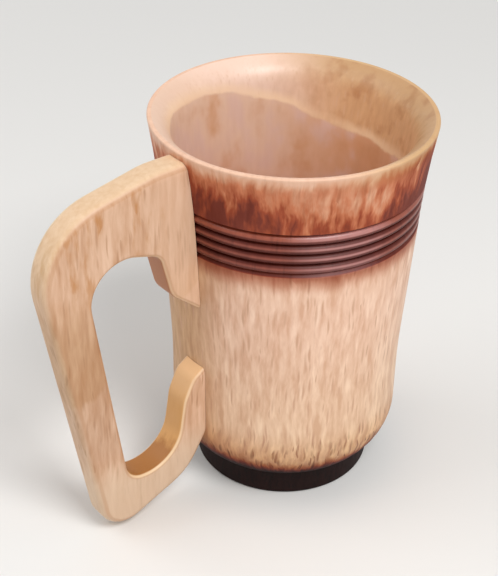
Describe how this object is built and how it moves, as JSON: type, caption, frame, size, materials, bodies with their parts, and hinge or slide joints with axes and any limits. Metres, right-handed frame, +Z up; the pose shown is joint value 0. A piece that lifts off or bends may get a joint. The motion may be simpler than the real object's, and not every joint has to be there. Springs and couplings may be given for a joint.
{
  "type": "mug",
  "caption": "Drinking mug turned from a length of bamboo culm, with flared lip, beaded band, foot ring and a flat board handle on hidden dowels.",
  "frame": {"origin": "centre of the foot ring's underside, on the cup's turned axis", "axes": "+Z up along the turned axis to the lip, -X from the axis towards the handle, the handle's board lies in the XZ plane"},
  "size_m": [0.139, 0.0902, 0.1285],
  "materials": {
    "turned_bamboo": "satin lacquer, burnt red-brown at the beaded band and the foot",
    "board_bamboo": "sanded, thin satin lacquer",
    "dowel_bamboo": "bare"
  },
  "bodies": {
    "root": {"culm_body": "turned_bamboo", "handle": "board_bamboo", "upper_dowel": "dowel_bamboo", "middle_dowel": "dowel_bamboo", "lower_dowel": "dowel_bamboo"}
  },
  "joints": []
}
